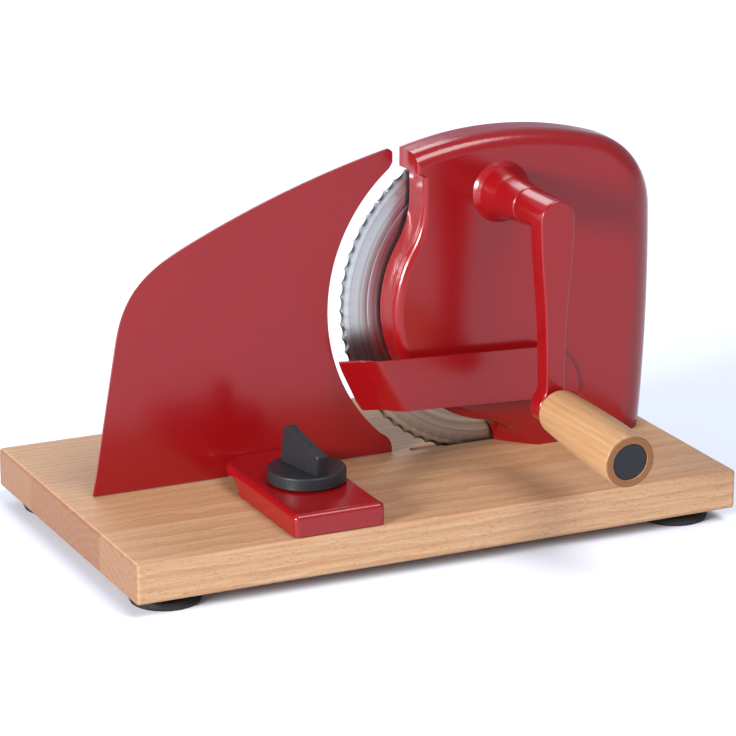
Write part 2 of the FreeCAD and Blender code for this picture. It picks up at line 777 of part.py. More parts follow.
def crank_arm():
    """Tapered arm hanging from a round hub, flared again round the grip's pin."""
    back = arm_front_y + arm_top_thickness
    top_r, low_r, waist = arm_top_width / 2, arm_end_width / 2, arm_waist_width / 2
    blend = arm_end_fillet
    waist_z = grip_z + math.sqrt((low_r + blend) ** 2 - (waist + blend) ** 2)
    middle_z = (crank_z + waist_z) / 2 - 5
    share = low_r / (low_r + blend)

    def at(dx, z):
        return Vector(crank_x + dx, arm_front_y, z)

    def side(s):
        curve = Part.BSplineCurve()
        curve.interpolate([at(s * top_r, crank_z), at(s * arm_middle_width / 2, middle_z), at(s * waist, waist_z)],
                          InitialTangent=Vector(0, 0, -1), FinalTangent=Vector(0, 0, -1))
        join = at(s * (waist + blend) * share, grip_z + (waist_z - grip_z) * share)
        middle = Vector(join.x + at(s * waist, waist_z).x, 0, join.z + waist_z) * 0.5
        centre = at(s * (waist + blend), waist_z)
        away = Vector(middle.x - centre.x, 0, middle.z - centre.z).normalize() * blend
        return [curve.toShape(), arc(at(s * waist, waist_z), centre + away, join)], join

    right, right_join = side(1)
    left, left_join = side(-1)
    outline = [arc(at(-top_r, crank_z), at(0, crank_z + top_r), at(top_r, crank_z))] + right
    outline += [arc(right_join, at(0, grip_z - low_r), left_join)] + left[::-1]
    arm = prism(outline, Vector(0, arm_top_thickness, 0))
    taper = arm_top_thickness - arm_bottom_thickness
    start_z, end_z, side_x = crank_z - hub_diameter / 2, grip_z - low_r - 5, crank_x - arm_top_width
    chain = [Vector(side_x, back + 1, start_z), Vector(side_x, back, start_z),
             Vector(side_x, back - taper, end_z), Vector(side_x, back + 1, end_z)]
    wedge = Part.Face(Part.makePolygon(chain + chain[:1])).extrude(Vector(2 * arm_top_width, 0, 0))
    arm = arm.cut(wedge)
    arm = arm.makeFillet(1.2, [e for e in arm.Edges if e.BoundBox.YMax < arm_front_y + 0.01])
    hub_end = horn_tip_y - slide_gap
    hub = cylinder_y(hub_diameter, arm_front_y + 2, hub_end, crank_x, crank_z)
    hub = hub.makeFillet(0.6, [e for e in hub.Edges if e.BoundBox.YMin > hub_end - 0.01])
    arm = arm.fuse(hub)
    socket = cylinder_y(shaft_diameter + 2 * running_gap, hub_end - hub_socket_depth, hub_end + 1,
                        crank_x, crank_z)
    arm = arm.cut(socket)
    grub = cylinder_z(grub_screw_diameter + 2 * thread_gap, crank_z - hub_diameter, crank_z,
                      crank_x, grub_y())
    arm = arm.cut(grub)
    return arm.cut(drooped(cylinder_y(grip_pin_diameter + 2 * running_gap, arm_front_y - 2, back + 2,
                                      crank_x, grip_z)))


def grub_y():
    return (arm_front_y + arm_top_thickness + horn_tip_y) / 2


def hub_grub_screw():
    low, high = crank_z - hub_diameter / 2 + 0.4, crank_z - shaft_diameter / 2 - running_gap
    screw = cylinder_z(grub_screw_diameter, low, high, crank_x, grub_y())
    return screw.cut(hex_prism(2.5, 2.0, Vector(crank_x, grub_y(), low - 0.01), Vector(0, 0, 1)))


def drooped(shape):
    """The pin stands out of the arm pointing slightly down."""
    shape.rotate(Vector(crank_x, arm_front_y, grip_z), Vector(1, 0, 0), grip_droop)
    return shape


def grip_pin():
    """Shouldered pin: riveted in the arm, with its head in the grip's recess."""
    back = arm_front_y + arm_bottom_thickness
    head_y = grip_end_y + grip_recess_depth - slide_gap
    pin = cylinder_y(grip_pin_diameter, head_y - 0.5, back - 0.6, crank_x, grip_z)
    head = cylinder_y(grip_pin_head_diameter, head_y - grip_pin_head_height, head_y, crank_x, grip_z)
    return drooped(pin.fuse(head))


def grip():
    """Turned wooden grip, thicker towards its outer end, with a recess for the pin's head."""
    r0, r1 = grip_inner_diameter / 2, grip_outer_diameter / 2
    start, end = grip_start_y, grip_end_y
    bore = grip_pin_diameter / 2 + running_gap

    def at(radius, y):
        return Vector(crank_x + radius, y, grip_z)

    r, e = grip_round, grip_edge_round
    bulge = arc(at(r0, start - r), at((r0 + r1) / 2 + grip_barrel, (start + end) / 2), at(r1, end + e))
    edges = [line(at(bore, start), at(r0 - r, start)),
             arc(at(r0 - r, start), at(r0 - r * 0.293, start - r * 0.293), at(r0, start - r)), bulge,
             arc(at(r1, end + e), at(r1 - e * 0.293, end + e * 0.293), at(r1 - e, end)),
             line(at(r1 - e, end), at(grip_cap_diameter / 2, end)),
             line(at(grip_cap_diameter / 2, end), at(grip_cap_diameter / 2, end + grip_recess_depth)),
             line(at(grip_cap_diameter / 2, end + grip_recess_depth), at(bore, end + grip_recess_depth)),
             line(at(bore, end + grip_recess_depth), at(bore, start))]
    return drooped(Part.Face(Part.Wire(edges)).revolve(Vector(crank_x, 0, grip_z), Vector(0, 1, 0), 360))


def grip_cap():
    """Plug that closes the grip's recess."""
    outer = grip_cap_diameter / 2 - running_gap
    y0 = grip_end_y + 0.4
    y1 = y0 + grip_cap_thickness
    skirt = y1 + 3.5
    profile = [(0, y0), (outer - 0.5, y0), (outer, y0 + 0.5), (outer, skirt), (outer - 1.5, skirt),
               (outer - 1.5, y1), (0, y1)]
    return drooped(revolve_y(profile, crank_x, grip_z))


# fence, bracket and clamp

def fence_front_y():
    return blade_back_y - fence_thickness


def fence_plate():
    """Sheet with a rising curved back and a cut that follows the blade."""
    y = fence_front_y()
    low = fence_board_gap
    cut_r = blade_radius + fence_blade_gap
    right = fence_right
    cut_start = blade_z + math.sqrt(cut_r ** 2 - fence_reach ** 2) + 0.3

    def at(x, z):
        return Vector(x, y, z)

    def on_cut(z):
        return at(blade_x - math.sqrt(cut_r ** 2 - (z - blade_z) ** 2), z)

    shoulder = at(fence_left + fence_lean * fence_shoulder_height, fence_shoulder_height)
    brow = at(fence_brow_x, fence_brow_height)
    crest = at(right - 4, fence_top_height)
    chord = crest - brow
    half_turn = math.asin(chord.Length / 2 / fence_crown_radius)
    rise = math.atan2(chord.z, chord.x)
    sag = fence_crown_radius * (1 - math.cos(half_turn))
    crown = (brow + crest) * 0.5 + Vector(-math.sin(rise), 0, math.cos(rise)) * sag
    slope = math.tan(rise + half_turn)
    reach = (brow.z + slope * (shoulder.x - brow.x) - shoulder.z) / (1 - slope * fence_lean)
    corner = at(shoulder.x + fence_lean * reach, shoulder.z + reach)
    k = fence_shoulder_fullness
    bend = Part.BezierCurve()
    bend.setPoles([shoulder, shoulder + (corner - shoulder) * k, brow + (corner - brow) * k, brow])
    tip = at(right, fence_top_height - 3.2)
    edges = [line(at(fence_left + fence_lean * low, low), shoulder), bend.toShape(), arc(brow, crown, crest),
             arc(crest, at(right - 1.0, fence_top_height - 0.7), tip),
             line(tip, at(right, cut_start + 2)),
             arc(at(right, cut_start + 2), at(right - 0.9, cut_start - 0.2),
                 at(on_cut(cut_start - 3).x, cut_start - 3)),
             arc(on_cut(cut_start - 3), at(blade_x - cut_r, blade_z), on_cut(fence_foot_height + 4)),
             arc(on_cut(fence_foot_height + 4), at(right - 0.9, fence_foot_height - 1.2),
                 at(right, fence_foot_height - 4.5)),
             line(at(right, fence_foot_height - 4.5), at(right, low)),
             line(at(right, low), at(fence_left + fence_lean * low, low))]
    plate = prism(edges, Vector(0, fence_thickness, 0))
    for x, z in rivet_places():
        plate = plate.cut(cylinder_y(rivet_diameter, y - 1, y + 3, x, z))
    return plate


def rivet_places():
    middle = (bracket_left + bracket_right) / 2 + rivet_shift
    return [(middle + s * rivet_spacing / 2, rivet_height) for s in (-1, 1)]


def bracket_block(grow):
    """Outer form of the bracket, or its hollow when grow is the sheet's thickness."""
    y1 = fence_front_y()
    solid = box(bracket_left + grow, bracket_right - grow, bracket_front_y + grow, y1 - grow,
                fence_board_gap - (1 if grow else 0), bracket_top - grow)
    corner = [e for e in solid.Edges if e.BoundBox.XMax < bracket_left + grow + 0.01
              and e.BoundBox.YMin > y1 - grow - 0.01]
    solid = solid.makeFillet(bracket_corner_round - grow, corner)
    front = [e for e in solid.Edges if e.BoundBox.YMax < bracket_front_y + grow + 0.01
             and e.BoundBox.XMax - e.BoundBox.XMin < 0.01]
    solid = solid.makeFillet(bracket_round - grow / 2, front)
    rims = [e for e in solid.Edges if e.BoundBox.ZMin > bracket_top - grow - 0.01
            and e.BoundBox.YMin < y1 - grow - 0.01]
    return solid.makeFillet(bracket_round - grow / 2, rims)


def fence_bracket():
    """Folded sheet foot of the fence: a flat box open below, with a slot for the clamp bolt."""
    sheet = bracket_block(0.0).cut(bracket_block(bracket_sheet))
    rim_z = bracket_top - bracket_round - 1.0
    end, side = bracket_flange_end_y, bracket_left - 5
    far = board_depth

    def at(y, z):
        return Vector(side, y, z)

    mouth = prism([line(at(end, -2), at(far, -2)), line(at(far, -2), at(far, rim_z + 0.4)),
                   line(at(far, rim_z + 0.4), at(end + 9, rim_z - 0.7)),
                   arc(at(end + 9, rim_z - 0.7), at(end + 2.5, rim_z - 3), at(end, -2))],
                  Vector(bracket_corner_round + 8, 0, 0))
    sheet = sheet.cut(mouth)
    half = bracket_slot_width / 2
    slot = box(clamp_x - half, clamp_x + half, clamp_y, clamp_y + fence_travel,
               bracket_top - bracket_sheet - 1, bracket_top + 1)
    for y in (clamp_y, clamp_y + fence_travel):
        slot = slot.fuse(cylinder_z(bracket_slot_width, bracket_top - bracket_sheet - 1, bracket_top + 1,
                                    clamp_x, y))
    sheet = sheet.cut(slot)
    y1 = fence_front_y()
    for x, z in rivet_places():
        sheet = sheet.cut(cylinder_y(rivet_diameter, y1 - 5, y1 + 1, x, z))
    return sheet


def fence_rivets():
    """Two rivets: low heads in the bracket, flush on the food side."""
    y0 = fence_front_y() - bracket_sheet
    rivets = []
    for x, z in rivet_places():
        head = cylinder_y(rivet_head_diameter, y0 - rivet_head_height, y0, x, z)
        rivets.append(head.fuse(cylinder_y(rivet_diameter, y0 - 0.5, blade_back_y, x, z)))
    return Part.makeCompound(rivets)


def guide_block():
    """Slide block screwed to the board, which keeps the fence square to the blade."""
    z1 = bracket_top - bracket_sheet - block_gap
    x0, x1 = bracket_left + bracket_sheet + block_gap, bracket_right - bracket_sheet - block_gap
    block = box(x0, x1, block_front_y, block_rear_y, 0, z1)
    block = block.makeFillet(2.0, [e for e in block.Edges if e.BoundBox.ZMax - e.BoundBox.ZMin > z1 / 2])
    block = block.makeFillet(bracket_round - bracket_sheet / 2,
                             [e for e in block.Edges if e.BoundBox.ZMin > z1 - 0.01])
    block = block.cut(cylinder_z(clamp_bolt_diameter + 2 * thread_gap, -1, z1 + 1, clamp_x, clamp_y))
    for x, y in block_screw_places():
        hole = countersunk(block_screw_diameter + 2 * thread_gap, z1 + 2, 2 * block_screw_diameter + 0.4,
                           Vector(x, y, z1), Vector(0, 0, -1))
        block = block.cut(hole)
    return block


def block_screws():
    z1 = bracket_top - bracket_sheet - block_gap
    return Part.makeCompound([countersunk(block_screw_diameter, block_screw_length, 2 * block_screw_diameter,
                                          Vector(x, y, z1 - 0.1), Vector(0, 0, -1))
                              for x, y in block_screw_places()])


def clamp_bolt():
    low = -board_thickness + 1
    shank = cylinder_z(clamp_bolt_diameter, low, clamp_bolt_top, clamp_x, clamp_y)
    return shank.fuse(hex_prism(clamp_bolt_head, clamp_bolt_head_height, Vector(clamp_x, clamp_y, low),
                                Vector(0, 0, 1)))


def washer_base():
    return bracket_top + slide_gap


def clamp_washer():
    z0 = washer_base()
    ring = cylinder_z(washer_diameter, z0, z0 + washer_thickness, clamp_x, clamp_y)
    return ring.cut(cylinder_z(clamp_bolt_diameter + 0.6, z0 - 1, z0 + 3, clamp_x, clamp_y))


def knob_base():
    return washer_base() + washer_thickness


def knob_insert():
    z0 = knob_base()
    insert = hex_prism(knob_insert_diameter, knob_disc_height - knob_skin, Vector(clamp_x, clamp_y, z0),
                       Vector(0, 0, 1))
    return insert.cut(cylinder_z(clamp_bolt_diameter + 2 * running_gap, z0 - 1, z0 + 20, clamp_x, clamp_y))


def clamp_knob():
    """Disc with a sloping finger bar across it."""
    z0 = knob_base()
    z1 = z0 + knob_disc_height
    disc = cylinder_z(knob_diameter, z0, z1, clamp_x, clamp_y)
    disc = disc.makeFillet(knob_bottom_round, [e for e in disc.Edges if e.BoundBox.ZMin > z1 - 0.01])
    half = knob_fin_length / 2
    y0, y1 = clamp_y - half, clamp_y + half

    def at(y, z):
        return Vector(clamp_x + knob_fin_shift - knob_fin_thickness / 2, y, z)

    outline = [line(at(y0, z1 - 2), at(y0, z1 + knob_fin_low - 1)),
               arc(at(y0, z1 + knob_fin_low - 1), at(y0 + 0.5, z1 + knob_fin_low - 0.1),
                   at(y0 + 1.5, z1 + knob_fin_low + 0.5)),
               line(at(y0 + 1.5, z1 + knob_fin_low + 0.5), at(y1 - 7, z1 + knob_fin_peak - 0.5)),
               arc(at(y1 - 7, z1 + knob_fin_peak - 0.5), at(y1 - 3.7, z1 + knob_fin_peak - 0.4),
                   at(y1 - 1.6, z1 + knob_fin_peak - 3.0)),
               line(at(y1 - 1.6, z1 + knob_fin_peak - 3.0), at(y1 - 0.4, z1 - 2)),
               line(at(y1 - 0.4, z1 - 2), at(y0, z1 - 2))]
    fin = prism(outline, Vector(knob_fin_thickness, 0, 0))
    for side in (-1, 1):
        foot_x = clamp_x + knob_fin_shift + side * knob_fin_thickness / 2
        shaving = box(min(foot_x, foot_x + side * 20), max(foot_x, foot_x + side * 20), y0 - 2, y1 + 2,
                      z1 - 4, z1 + knob_fin_peak + 5)
        shaving.rotate(Vector(foot_x, 0, z1), Vector(0, 1, 0), -side * knob_fin_draft)
        fin = fin.cut(shaving)
    fin = fin.makeFillet(knob_edge_round, [e for e in fin.Edges if e.Length > knob_fin_length / 2
                                           and e.BoundBox.ZMin > z1 + knob_fin_low / 2])
    fin.rotate(Vector(clamp_x, clamp_y, 0), Vector(0, 0, 1), knob_fin_turn)
    knob = disc.fuse(fin)
    return knob.cut(hex_prism(knob_insert_diameter, knob_disc_height - knob_skin,
                              Vector(clamp_x, clamp_y, z0), Vector(0, 0, 1)))


# deflector

def deflector_screw_places():
    x = deflector_right_x + 4 + deflector_tab_length * 0.34
    drop = deflector_slope * (x - deflector_bend_x)
    top = deflector_top_left - drop
    return [(x, top - deflector_height * s) for s in (0.4, 0.8)]


def deflector_bend():
    """Left part of the strip: a plan path swept along the tilted bend line."""
    t, r, y0 = deflector_sheet, deflector_bend_radius, deflector_y
    turn = math.radians(deflector_turn)
    height = deflector_top_left + 10.0
    x0 = deflector_bend_x + deflector_bend_tilt * deflector_top_left

    def at(x, y):
        return Vector(x, y, 0)

    def on_bend(radius, a):
        return at(x0 - radius * math.sin(a), y0 + r - radius * math.cos(a))

    def tail_end(radius):
        p = on_bend(radius, turn)
        length = (deflector_rear_y - on_bend(r, turn).y) / math.sin(turn)
        return at(p.x - length * math.cos(turn), p.y + length * math.sin(turn))

    x1 = deflector_right_x + height * deflector_bend_tilt
    edges = [line(tail_end(r), on_bend(r, turn)), arc(on_bend(r, turn), on_bend(r, turn / 2), on_bend(r, 0)),
             line(on_bend(r, 0), at(x1, y0)), line(at(x1, y0), at(x1, y0 + t)),
             line(at(x1, y0 + t), on_bend(r - t, 0)),
             arc(on_bend(r - t, 0), on_bend(r - t, turn / 2), on_bend(r - t, turn)),
             line(on_bend(r - t, turn), tail_end(r - t)), line(tail_end(r - t), tail_end(r))]
    return prism(edges, Vector(-deflector_bend_tilt * height, 0, height))


def deflector_joggle():
    """Right end of the strip, set back against the housing for its screws."""
    t, y0, x1 = deflector_sheet, deflector_y, deflector_right_x
    jog = housing_front_y - t - y0
    x2, x3 = x1 + jog, x1 + jog + deflector_tab_length
    corner = t * math.tan(math.radians(22.5))
    plan = [(x1 - 2, y0), (x1, y0), (x2, y0 + jog), (x3, y0 + jog), (x3, y0 + jog + t),
            (x2 - corner, y0 + jog + t), (x1 - corner, y0 + t), (x1 - 2, y0 + t)]
    chain = [Vector(x, y, 0) for x, y in plan]
    return Part.Face(Part.makePolygon(chain + chain[:1])).extrude(Vector(0, 0, deflector_top_left + 10))


def deflector_view():
    """Front view of the strip: straight edges that drop past a knee, and a left edge round the blade."""
    edge_r = blade_radius + deflector_blade_gap
    h, slope, fall = deflector_height, deflector_slope, deflector_knee_slope
    end_x = deflector_right_x + housing_front_y - deflector_sheet - deflector_y + deflector_tab_length

    def at(x, z):
        return Vector(x, 0, z)

    def edge(knee_x, drop):
        top = deflector_top_left - drop
        far = at(end_x, top - slope * (end_x - deflector_bend_x))
        start = at(knee_x + 3, top - slope * (knee_x + 3 - deflector_bend_x))
        end = at(knee_x - 2.5, top - 2.5 * fall)
        bend = arc(start, at(knee_x + 0.3, (start.z + end.z) / 2 + 0.75), end)
        tip = at(knee_x - 22, end.z - 19.5 * fall)
        return [line(far, start), bend, line(end, tip)], far, tip

    upper, upper_far, upper_tip = edge(deflector_knee_x, 0.0)
    lower, lower_far, lower_tip = edge(deflector_knee_x + h * deflector_bend_tilt - 1.5, h)
    view = prism(upper + [line(upper_tip, lower_tip)] + lower[::-1] + [line(lower_far, upper_far)],
                 Vector(0, board_depth, 0))
    corners = [e for e in view.Edges if e.BoundBox.XMin > end_x - 0.01 and e.BoundBox.YLength > board_depth / 2]
    upper_corner = max(corners, key=lambda e: e.BoundBox.ZMax)
    view = view.makeFillet(deflector_end_share * h, [upper_corner])
    keep = cylinder_y(2 * edge_r, 0, board_depth, blade_x, blade_z)
    return view.common(keep.fuse(box(blade_x, end_x + 1, 0, board_depth, 0, blade_z)))


def deflector_band():
    bend = deflector_bend().common(box(0, deflector_right_x - 1, 0, board_depth, 0, housing_height))
    band = bend.fuse(deflector_joggle()).common(deflector_view())
    for x, z in deflector_screw_places():
        band = band.cut(cylinder_y(deflector_screw_diameter + 0.3, deflector_y - 1, housing_front_y + 1, x, z))
    return band


def deflector_screws():
    screws = []
    for x, z in deflector_screw_places():
        y1 = housing_front_y - deflector_sheet
        head = cylinder_y(2 * deflector_screw_diameter, y1 - 1.6, y1, x, z)
        head = head.makeFillet(1.0, [e for e in head.Edges if e.BoundBox.YMax < y1 - 1.5])
        screws.append(head.fuse(cylinder_y(deflector_screw_diameter, y1 - 0.5, housing_front_y + 5, x, z)))
    return Part.makeCompound(screws)


def main():
    os.makedirs("parts", exist_ok=True)
    save("board", board())
    for name, (x, y) in foot_places.items():
        save("foot_" + name, foot(x, y))
    save("foot_screws", foot_screws())
    shell = housing_shell()
    for x, z in deflector_screw_places():
        shell = shell.cut(cylinder_y(deflector_screw_diameter + 2 * thread_gap, housing_front_y - 1,
                                     housing_front_y + 6, x, z))
    save("housing_shell", shell)
    save("gear_cover", gear_cover())
    save("cover_screws", cover_screws())
    save("housing_screws", housing_screws())
    save("front_bush", front_bush())
    save("rear_bush", rear_bush())
    save("crank_shaft", crank_shaft())
    save("shaft_ring", shaft_ring())
    save("pinion", pinion())
    save("blade_gear", blade_gear())
    save("axle_bush", axle_bush())
    save("blade_axle", blade_axle())
    save("axle_washer", axle_washer())
    save("axle_screw", axle_screw())
    save("blade", blade())
    save("blade_screws", blade_screws())
    save("crank_arm", crank_arm())
    save("hub_grub_screw", hub_grub_screw())
    save("grip_pin", grip_pin())
    save("grip", grip())
    save("grip_cap", grip_cap())
    save("fence_plate", fence_plate())
    save("fence_bracket", fence_bracket())
    save("fence_rivets", fence_rivets())
    save("guide_block", guide_block())
    save("block_screws", block_screws())
    save("clamp_bolt", clamp_bolt())
    save("clamp_washer", clamp_washer())
    save("knob_insert", knob_insert())
    save("clamp_knob", clamp_knob())
    save("deflector_band", deflector_band())
    save("deflector_screws", deflector_screws())


main()
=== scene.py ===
import math

import bmesh
import bpy
from mathutils import Matrix, Vector


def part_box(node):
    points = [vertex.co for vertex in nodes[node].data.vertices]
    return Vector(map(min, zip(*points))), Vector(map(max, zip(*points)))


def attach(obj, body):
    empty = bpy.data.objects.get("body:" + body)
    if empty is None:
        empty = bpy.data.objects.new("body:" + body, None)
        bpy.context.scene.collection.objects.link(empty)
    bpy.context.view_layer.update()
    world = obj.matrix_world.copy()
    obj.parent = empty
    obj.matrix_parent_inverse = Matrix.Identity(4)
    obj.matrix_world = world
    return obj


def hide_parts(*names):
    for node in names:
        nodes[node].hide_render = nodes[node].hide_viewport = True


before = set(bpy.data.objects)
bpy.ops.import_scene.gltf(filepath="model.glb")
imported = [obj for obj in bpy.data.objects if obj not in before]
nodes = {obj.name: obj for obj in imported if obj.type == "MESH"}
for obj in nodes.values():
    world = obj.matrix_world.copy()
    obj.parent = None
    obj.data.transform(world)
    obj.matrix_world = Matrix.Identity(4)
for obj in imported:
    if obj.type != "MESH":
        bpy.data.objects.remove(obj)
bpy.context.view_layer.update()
mm = 0.001
print("frame loaded:", len(nodes), "nodes")


# sRGB hex to the linear values that a shader takes
def toLinear(hexColour):
    channels = [int(hexColour[i:i + 2], 16) / 255 for i in (0, 2, 4)]
    return [c / 12.92 if c <= 0.04045 else ((c + 0.055) / 1.055) ** 2.4 for c in channels] + [1.0]


def addNode(material, kind, settings=None, inputs=None, links=None):
    node = material.node_tree.nodes.new(kind)
    for name, value in (settings or {}).items():
        setattr(node, name, value)
    for name, value in (inputs or {}).items():
        node.inputs[name].default_value = value
    for name, source in (links or {}).items():
        material.node_tree.links.new(source, node.inputs[name])
    return node


def newMaterial(name, colour, metallic, roughness, **extra):
    material = bpy.data.materials.new(name)
    material.use_nodes = True
    inputs = material.node_tree.nodes["Principled BSDF"].inputs
    inputs["Base Color"].default_value = toLinear(colour)
    inputs["Metallic"].default_value = metallic
    inputs["Roughness"].default_value = roughness
    for socket, value in extra.items():
        inputs[socket.replace("_", " ")].default_value = value
    return material


def linkTo(material, source, socketName):
    shader = material.node_tree.nodes["Principled BSDF"]
    material.node_tree.links.new(source, shader.inputs[socketName])


def addBump(material, height, depth, strength):
    bump = addNode(material, "ShaderNodeBump", inputs={"Distance": depth * mm, "Strength": strength},
                   links={"Height": height})
    linkTo(material, bump.outputs["Normal"], "Normal")


def mixTones(material, share, light, dark):
    return addNode(material, "ShaderNodeMix", {"data_type": "RGBA"}, {6: toLinear(light), 7: toLinear(dark)},
                   {0: share}).outputs[2]


def spreadOut(material, value, low, high, top=1.0):
    return addNode(material, "ShaderNodeMapRange", inputs={"From Min": low, "From Max": high, "To Max": top},
                   links={"Value": value}).outputs["Result"]


def finishPiece(name, bm, body, slot, smoothAngle=35.0):
    bmesh.ops.recalc_face_normals(bm, faces=bm.faces)
    mesh = bpy.data.meshes.new(name)
    bm.to_mesh(mesh)
    bm.free()
    for polygon in mesh.polygons:
        polygon.use_smooth = True
    mesh.set_sharp_from_angle(angle=math.radians(smoothAngle))
    mesh.materials.append(finishes[slot])
    piece = bpy.data.objects.new(name, mesh)
    bpy.context.scene.collection.objects.link(piece)
    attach(piece, body)
    return piece


# satin polyester powder coat on steel and cast aluminium: deep red, a soft sheen and a faint orange peel
powderCoat = {"colour": "7b090d", "roughness": 0.2, "ior": 1.5,
              "peelSize": 1.4, "peelDetail": 1.0, "peelDepth": 0.012, "peelStrength": 0.6}


def makePowderCoat():
    s = powderCoat
    material = newMaterial("satinPowderCoat", s["colour"], 0.0, s["roughness"], IOR=s["ior"])
    coords = addNode(material, "ShaderNodeTexCoord")
    peel = addNode(material, "ShaderNodeTexNoise",
                   inputs={"Scale": 1 / (s["peelSize"] * mm), "Detail": s["peelDetail"]},
                   links={"Vector": coords.outputs["Object"]})
    addBump(material, peel.outputs["Fac"], s["peelDepth"], s["peelStrength"])
    return material


# steamed beech, oiled: glued staves of pinkish tan, faint rings and short dark ray flecks along the grain
boardWood = {"light": "b89a78", "dark": "a27854", "fleck": "86543a", "roughness": 0.5, "stave": 51.75,
             "ringSpacing": 5.0, "ringWander": 3.2, "streakLength": 70.0, "streakWidth": 1.6,
             "fleckLength": 2.8, "fleckWidth": 0.5, "fleckShare": 0.6, "turn": 0.0,
             "endFacing": (1.0, 0.0, 0.0), "endTint": "d6d0ce", "endWarm": "bca596"}
# turned beech with a satin lacquer: paler along the grain, orange-brown where the end grain shows
gripWood = {"light": "aa8863", "dark": "99724c", "fleck": "a87848", "roughness": 0.4, "stave": 900.0,
            "ringSpacing": 3.6, "ringWander": 2.0, "streakLength": 45.0, "streakWidth": 1.2,
            "fleckLength": 2.2, "fleckWidth": 0.35, "fleckShare": 0.4, "turn": math.pi / 2,
            "endFacing": (0.0, 1.0, 0.0), "endTint": "bfa07c", "endWarm": "bfa07c"}
# both woods: cells wider than the part in metres, so that staves divide it only across, then shares and detail
woodGrain = {"ior": 1.45, "cell": 10.0, "jointShift": (5.0, 0.0716, 5.0), "staveShift": (0.3, 0.09, 0.07),
             "ringDetail": 2.0, "ringDetailScale": 0.6, "ringShare": 0.3, "streakDetail": 3.0,
             "fleckDetail": 1.0, "chanceShare": 0.32, "tone": (0.38, 1.05), "end": (0.35, 0.8),
             "fleck": (0.6, 0.72), "poreDepth": 0.03, "poreStrength": 0.5}


def makeWood(name, s):
    g = woodGrain
    material = newMaterial(name, s["light"], 0.0, s["roughness"], IOR=g["ior"])
    coords = addNode(material, "ShaderNodeTexCoord").outputs
    along = addNode(material, "ShaderNodeMapping", inputs={"Rotation": (0, 0, s["turn"])},
                    links={"Vector": coords["Object"]}).outputs["Vector"]
    # each stave is its own piece of timber: a random shift moves its rings, a random value sets its tone
    placed = addNode(material, "ShaderNodeVectorMath", {"operation": "ADD"}, {1: g["jointShift"]}, {0: along})
    stave = addNode(material, "ShaderNodeVectorMath", {"operation": "SNAP"},
                    {1: (g["cell"], s["stave"] * mm, g["cell"])}, {0: placed.outputs["Vector"]})
    chance = addNode(material, "ShaderNodeTexWhiteNoise", {"noise_dimensions": "3D"},
                     links={"Vector": stave.outputs["Vector"]}).outputs
    shifted = addNode(material, "ShaderNodeVectorMath", {"operation": "MULTIPLY_ADD"}, {1: g["staveShift"]},
                      {0: chance["Color"], 2: along}).outputs["Vector"]
    # the wave node draws a ring every pi / 10 divided by its scale
    rings = addNode(material, "ShaderNodeTexWave",
                    {"wave_type": "RINGS", "rings_direction": "X", "wave_profile": "SAW"},
                    {"Scale": math.pi / 10 / (s["ringSpacing"] * mm), "Distortion": s["ringWander"],
                     "Detail": g["ringDetail"], "Detail Scale": g["ringDetailScale"]}, {"Vector": shifted})
    stretched = {}
    for kind in ("streak", "fleck"):
        length, width = s[kind + "Length"] * mm, s[kind + "Width"] * mm
        scaled = addNode(material, "ShaderNodeMapping", inputs={"Scale": (1 / length, 1 / width, 1 / width)},
                         links={"Vector": shifted})
        stretched[kind] = addNode(material, "ShaderNodeTexNoise",
                                  inputs={"Scale": 1.0, "Detail": g[kind + "Detail"]},
                                  links={"Vector": scaled.outputs["Vector"]}).outputs["Fac"]
    grain = addNode(material, "ShaderNodeMath", {"operation": "MULTIPLY_ADD"}, {1: g["ringShare"]},
                    {0: rings.outputs["Fac"], 2: stretched["streak"]})
    tone = addNode(material, "ShaderNodeMath", {"operation": "MULTIPLY_ADD"}, {1: g["chanceShare"]},
                   {0: chance["Value"], 2: grain.outputs["Value"]})
    body = mixTones(material, spreadOut(material, tone.outputs["Value"], *g["tone"]), s["light"], s["dark"])
    # the sawn ends drink more oil and turn darker and pinker
    facing = addNode(material, "ShaderNodeVectorMath", {"operation": "ABSOLUTE"}, links={0: coords["Normal"]})
    sawn = addNode(material, "ShaderNodeVectorMath", {"operation": "DOT_PRODUCT"}, {1: s["endFacing"]},
                   {0: facing.outputs["Vector"]})
    endGrain = spreadOut(material, sawn.outputs["Value"], *g["end"])
    tint = mixTones(material, chance["Value"], s["endTint"], s["endWarm"])
    oiled = addNode(material, "ShaderNodeMix", {"data_type": "RGBA", "blend_type": "MULTIPLY"},
                    links={0: endGrain, 6: body, 7: tint})
    specks = spreadOut(material, stretched["fleck"], *g["fleck"], s["fleckShare"])
    colour = addNode(material, "ShaderNodeMix", {"data_type": "RGBA"}, {7: toLinear(s["fleck"])},
                     {0: specks, 6: oiled.outputs[2]})
    linkTo(material, colour.outputs[2], "Base Color")
    addBump(material, stretched["streak"], g["poreDepth"], g["poreStrength"])
    return material


# ground stainless: the grinding leaves fine rings round the centre, which stretch every highlight outwards
# hollow: painted shade and dark reflection, mixed into the colour of the scallops between the teeth
bladeSteel = {"light": "cfcfcc", "dark": "a7a8a9", "hollow": "2c2c2e", "roughness": 0.3, "tone": (0.3, 0.7),
              "centre": (78.0, 0.0, 115.0), "ring": 2.6, "groove": 0.6, "detail": 2.0,
              "depth": 0.004, "strength": 1.0}


